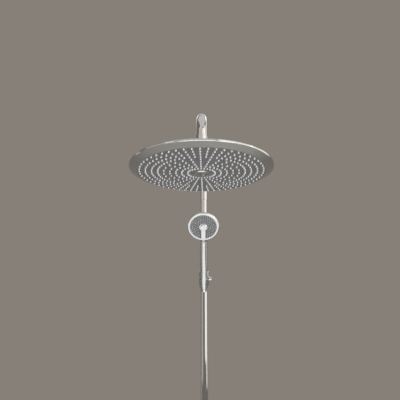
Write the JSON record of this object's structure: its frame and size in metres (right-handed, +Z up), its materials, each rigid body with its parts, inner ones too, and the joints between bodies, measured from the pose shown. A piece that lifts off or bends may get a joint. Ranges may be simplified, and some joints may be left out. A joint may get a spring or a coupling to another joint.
{
  "type": "thermostatic shower system",
  "caption": "Wall-mounted thermostatic shower: mixer bar, riser pipe, overhead arm with a round rain head on a ball joint, and a hand shower in a sliding holder.",
  "frame": {"origin": "point of the wall midway between the two water inlets", "axes": "+Y into the wall, +Z up, +X to the right of somebody who faces the wall"},
  "size_m": [0.3, 0.7, 1.153],
  "materials": {
    "chrome": "polished chrome on brass",
    "chrome_plastic": "polished chrome plating on plastic",
    "brass": "turned brass",
    "copper": "drawn copper",
    "steel": "stainless steel",
    "grey_plastic": "satin grey plastic",
    "white_plastic": "moulded white plastic",
    "silicone": "translucent silicone",
    "rubber": "black rubber",
    "ceramic": "lapped white ceramic",
    "red_button": "red plastic"
  },
  "bodies": {
    "fixed": {"mixer_body": "chrome", "s_unions": "chrome", "union_nuts": "chrome", "wall_rosettes": "chrome", "filter_washers": "white_plastic", "check_valve_cages": "white_plastic", "valve_spring_cold": "steel", "valve_spring_hot": "steel", "thermo_cartridge": "brass", "thermo_spring": "steel", "temp_stop_ring": "white_plastic", "flow_cartridge": "brass", "ceramic_seat_disc": "ceramic", "riser_seal": "rubber", "riser_nut": "chrome", "riser_pipe": "chrome", "bracket_base": "grey_plastic", "bracket_screw": "steel", "bracket_rosette": "chrome", "bracket_arm": "chrome", "swivel_socket": "chrome", "lock_screw": "steel"},
    "arm": {"arm_spigot": "chrome", "spigot_seals": "rubber", "arm_tube": "chrome", "arm_end_sleeve": "chrome", "ball_stud": "chrome"},
    "seat": {"ball_seat": "white_plastic"},
    "head": {"ball_nut": "chrome", "head_cover": "chrome_plastic", "head_rim": "chrome_plastic", "spray_plate": "grey_plastic", "nozzle_mat": "silicone", "water_plate": "white_plastic", "chamber_seal": "rubber", "head_screws": "steel", "centre_hub": "chrome", "inlet_strainer": "steel"},
    "bush": {"slider_bush": "white_plastic"},
    "slider": {"slider_body": "chrome_plastic", "holder_pin": "steel"},
    "slider_key": {"slider_button": "chrome_plastic"},
    "holder": {"hand_holder": "chrome_plastic"},
    "handset": {"handset_shell": "chrome_plastic", "handset_ring": "chrome_plastic", "handset_face": "grey_plastic", "handset_nozzles": "silicone", "hose_nipple": "chrome"},
    "select_key": {"select_button": "chrome_plastic"},
    "temp": {"temp_handle": "chrome_plastic", "temp_spindle": "brass"},
    "safety_key": {"safety_button": "red_button"},
    "element": {"thermo_element": "copper"},
    "flow": {"flow_handle": "chrome_plastic", "flow_spindle": "brass", "turning_disc": "ceramic"},
    "eco_key": {"eco_button": "red_button"},
    "cold_poppet": {"poppet_cold": "white_plastic"},
    "hot_poppet": {"poppet_hot": "white_plastic"}
  },
  "joints": [
    {"name": "arm_swivel", "type": "hinge", "parent": "fixed", "child": "arm", "pos_m": [0, -0.066, 1.0478], "axis": [0, 0, 1], "range_deg": [-75, 75]},
    {"name": "head_tilt_x", "type": "hinge", "parent": "arm", "child": "seat", "pos_m": [0, -0.516, 1.004], "axis": [1, 0, 0], "range_deg": [-10, 10]},
    {"name": "head_tilt_y", "type": "hinge", "parent": "seat", "child": "head", "pos_m": [0, -0.516, 1.004], "axis": [0, 1, 0], "range_deg": [-10, 10]},
    {"name": "slider_slide", "type": "slide", "parent": "fixed", "child": "bush", "axis": [0, 0, 1], "range_m": [-0.6, 0.04]},
    {"name": "slider_turn", "type": "hinge", "parent": "bush", "child": "slider", "pos_m": [0, -0.066, 0.76], "axis": [0, 0, 1], "range_deg": [-60, 60]},
    {"name": "slider_release", "type": "slide", "parent": "slider", "child": "slider_key", "axis": [-1, 0, 0], "range_m": [0, 0.003], "stiffness_N_per_m": 800},
    {"name": "holder_tilt", "type": "hinge", "parent": "slider", "child": "holder", "pos_m": [0, -0.094, 0.76], "axis": [1, 0, 0], "range_deg": [-20, 20]},
    {"name": "handset_lift", "type": "slide", "parent": "holder", "child": "handset", "axis": [0, -0.5, 0.866], "range_m": [0, 0.05]},
    {"name": "select_push", "type": "slide", "parent": "handset", "child": "select_key", "axis": [0, 0.766, 0.6428], "range_m": [0, 0.0015], "stiffness_N_per_m": 1200},
    {"name": "temp_turn", "type": "hinge", "parent": "fixed", "child": "temp", "pos_m": [0, -0.066, 0.006], "axis": [1, 0, 0], "range_deg": [-120, 120]},
    {"name": "thermo_travel", "type": "slide", "parent": "fixed", "child": "element", "axis": [-1, 0, 0], "range_m": [0, 0.0016], "stiffness_N_per_m": 800, "deforming": ["thermo_spring"]},
    {"name": "safety_push", "type": "slide", "parent": "temp", "child": "safety_key", "axis": [0, 1, 0], "range_m": [0, 0.002], "stiffness_N_per_m": 500},
    {"name": "flow_turn", "type": "hinge", "parent": "fixed", "child": "flow", "pos_m": [0, -0.066, 0.006], "axis": [1, 0, 0], "range_deg": [-90, 90]},
    {"name": "eco_push", "type": "slide", "parent": "flow", "child": "eco_key", "axis": [0, 1, 0], "range_m": [0, 0.002], "stiffness_N_per_m": 500},
    {"name": "cold_open", "type": "slide", "parent": "fixed", "child": "cold_poppet", "axis": [0, -1, 0], "range_m": [0, 0.0025], "stiffness_N_per_m": 100, "deforming": ["valve_spring_cold"]},
    {"name": "hot_open", "type": "slide", "parent": "fixed", "child": "hot_poppet", "axis": [0, -1, 0], "range_m": [0, 0.0025], "stiffness_N_per_m": 100, "deforming": ["valve_spring_hot"]}
  ]
}
